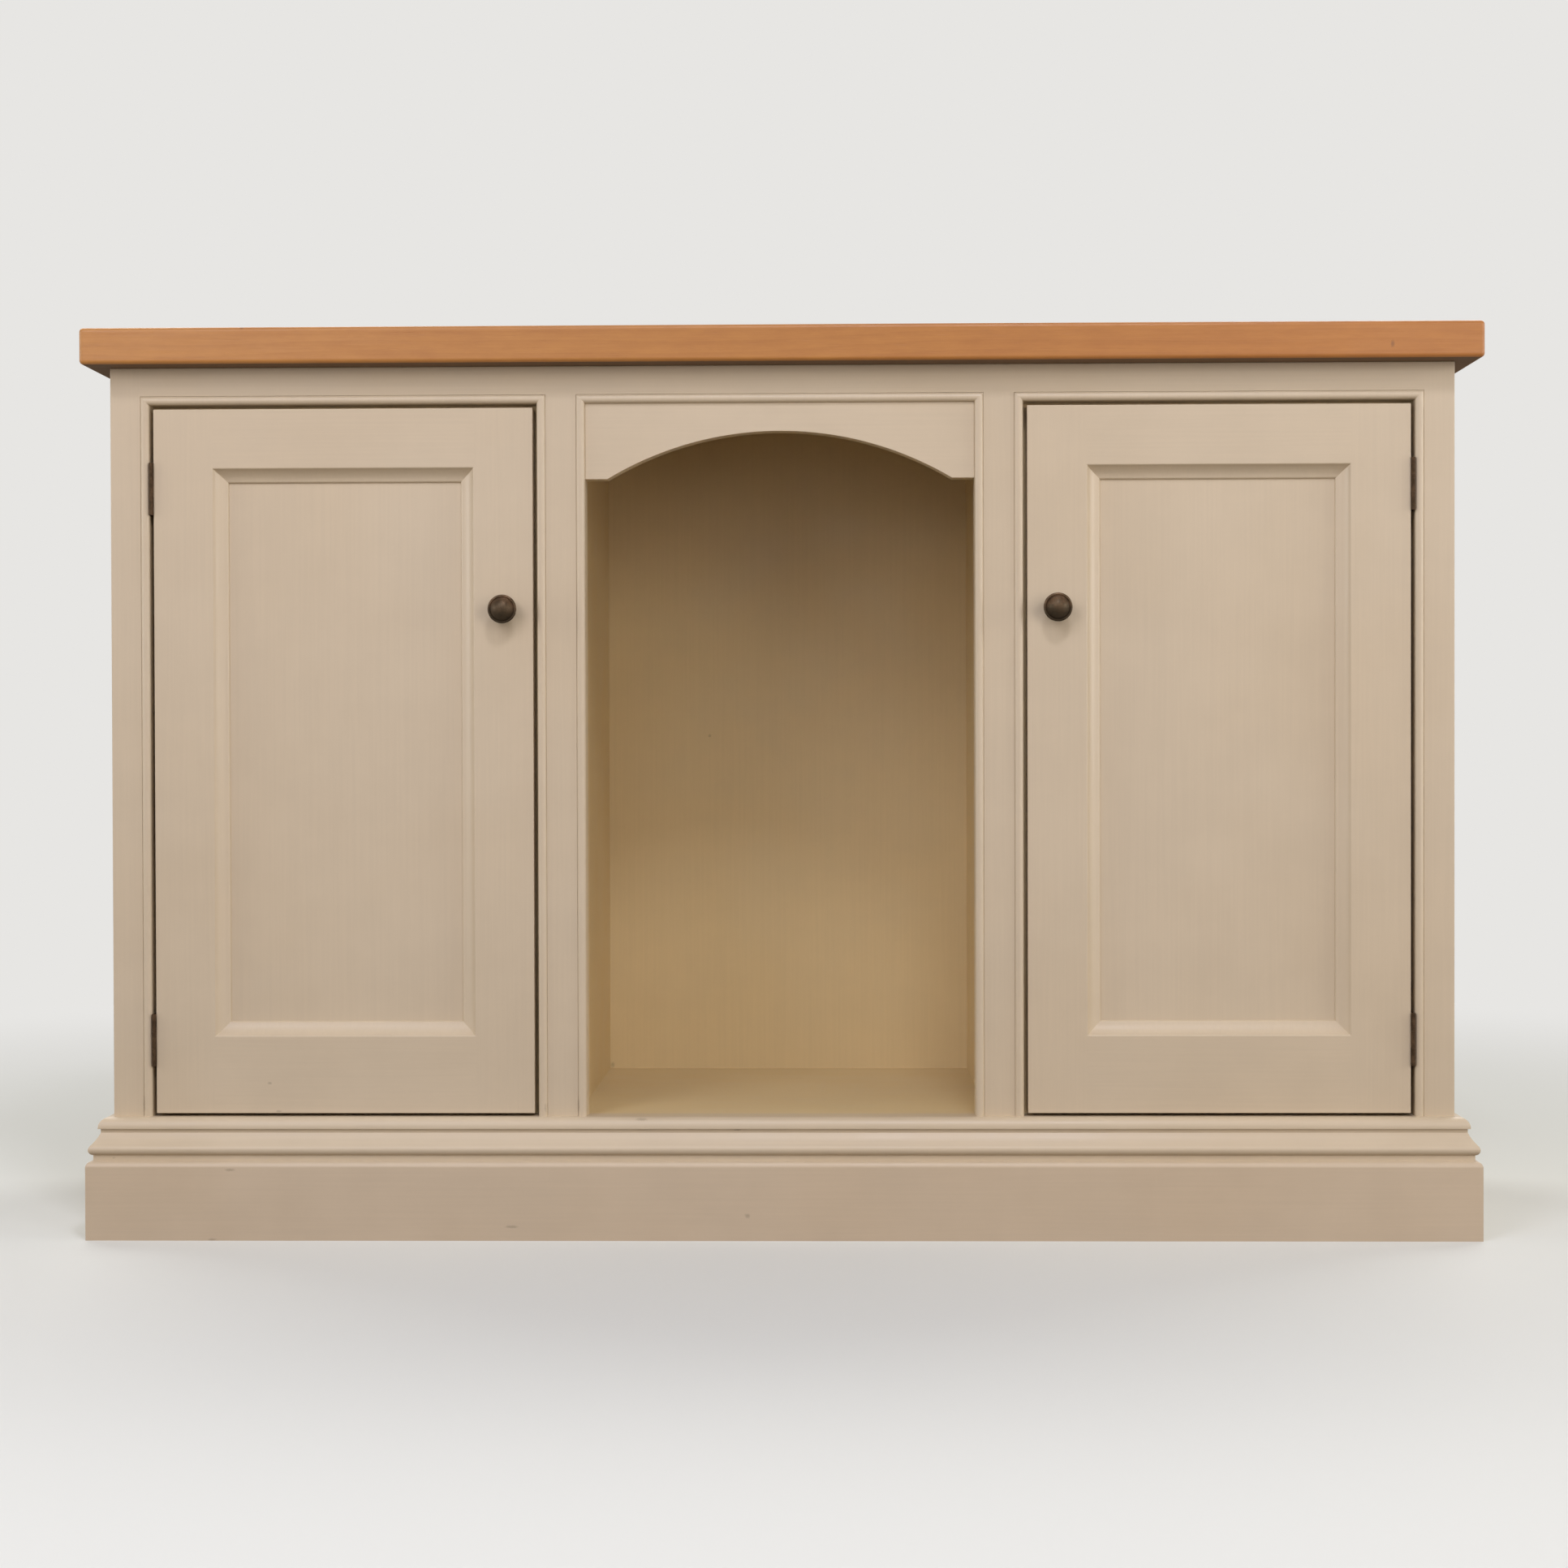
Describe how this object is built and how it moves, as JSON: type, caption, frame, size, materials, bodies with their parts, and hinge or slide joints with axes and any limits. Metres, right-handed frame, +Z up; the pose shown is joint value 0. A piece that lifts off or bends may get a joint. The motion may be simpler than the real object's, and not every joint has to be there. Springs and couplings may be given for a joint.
{
  "type": "dresser base",
  "caption": "Painted dresser base with a timber top, inset panelled cupboard doors either side of an open arched alcove, beaded face frame and moulded plinth.",
  "frame": {"origin": "on the floor, under the middle of the overall box", "axes": "+X to the right along the front, +Y from the front to the back, +Z up"},
  "size_m": [1.376, 0.45, 0.9],
  "materials": {
    "paint": "eggshell paint on timber",
    "top_timber": "waxed timber",
    "bare_timber": "bare softwood",
    "bronze": "dark bronze",
    "hinge_metal": "dark bronzed steel",
    "steel": "zinc plated",
    "catch_plastic": "brown moulded plastic"
  },
  "bodies": {
    "carcass": {"alcove_apron": "paint", "alcove_bead": "paint", "back_panel": "paint", "base_bearers": "bare_timber", "base_panel": "paint", "door_catches": "catch_plastic", "door_stops": "paint", "frame_bottom_rail": "paint", "frame_hinge_screws": "steel", "frame_mid_stile_left": "paint", "frame_mid_stile_right": "paint", "frame_stile_left": "paint", "frame_stile_right": "paint", "frame_top_rail": "paint", "left_bay_bead": "paint", "left_hinge_frame_leaves": "hinge_metal", "left_hinge_pins": "hinge_metal", "left_shelf": "paint", "partition_left": "paint", "partition_right": "paint", "plinth_front": "paint", "plinth_left": "paint", "plinth_moulding_front": "paint", "plinth_moulding_left": "paint", "plinth_moulding_right": "paint", "plinth_right": "paint", "rear_plinth_rail": "bare_timber", "right_bay_bead": "paint", "right_hinge_frame_leaves": "hinge_metal", "right_hinge_pins": "hinge_metal", "right_shelf": "paint", "shelf_cleats": "paint", "side_panel_left": "paint", "side_panel_right": "paint", "top_board": "top_timber", "top_fixing_battens": "bare_timber", "top_fixing_screws": "steel"},
    "left_door": {"left_door_bottom_rail": "paint", "left_door_hinge_screws": "steel", "left_door_hinge_stile": "paint", "left_door_knob": "bronze", "left_door_knob_screw": "steel", "left_door_lock_stile": "paint", "left_door_panel": "paint", "left_door_panel_moulding": "paint", "left_door_strike": "steel", "left_door_top_rail": "paint", "left_hinge_door_leaves": "hinge_metal"},
    "right_door": {"right_door_bottom_rail": "paint", "right_door_hinge_screws": "steel", "right_door_hinge_stile": "paint", "right_door_knob": "bronze", "right_door_knob_screw": "steel", "right_door_lock_stile": "paint", "right_door_panel": "paint", "right_door_panel_moulding": "paint", "right_door_strike": "steel", "right_door_top_rail": "paint", "right_hinge_door_leaves": "hinge_metal"}
  },
  "joints": [
    {"name": "left_door_hinge", "type": "hinge", "parent": "carcass", "child": "left_door", "pos_m": [-0.624, -0.1975, 0.473], "axis": [0, 0, -1], "range_deg": [0, 170]},
    {"name": "right_door_hinge", "type": "hinge", "parent": "carcass", "child": "right_door", "pos_m": [0.624, -0.1975, 0.473], "axis": [0, 0, 1], "range_deg": [0, 170]}
  ]
}
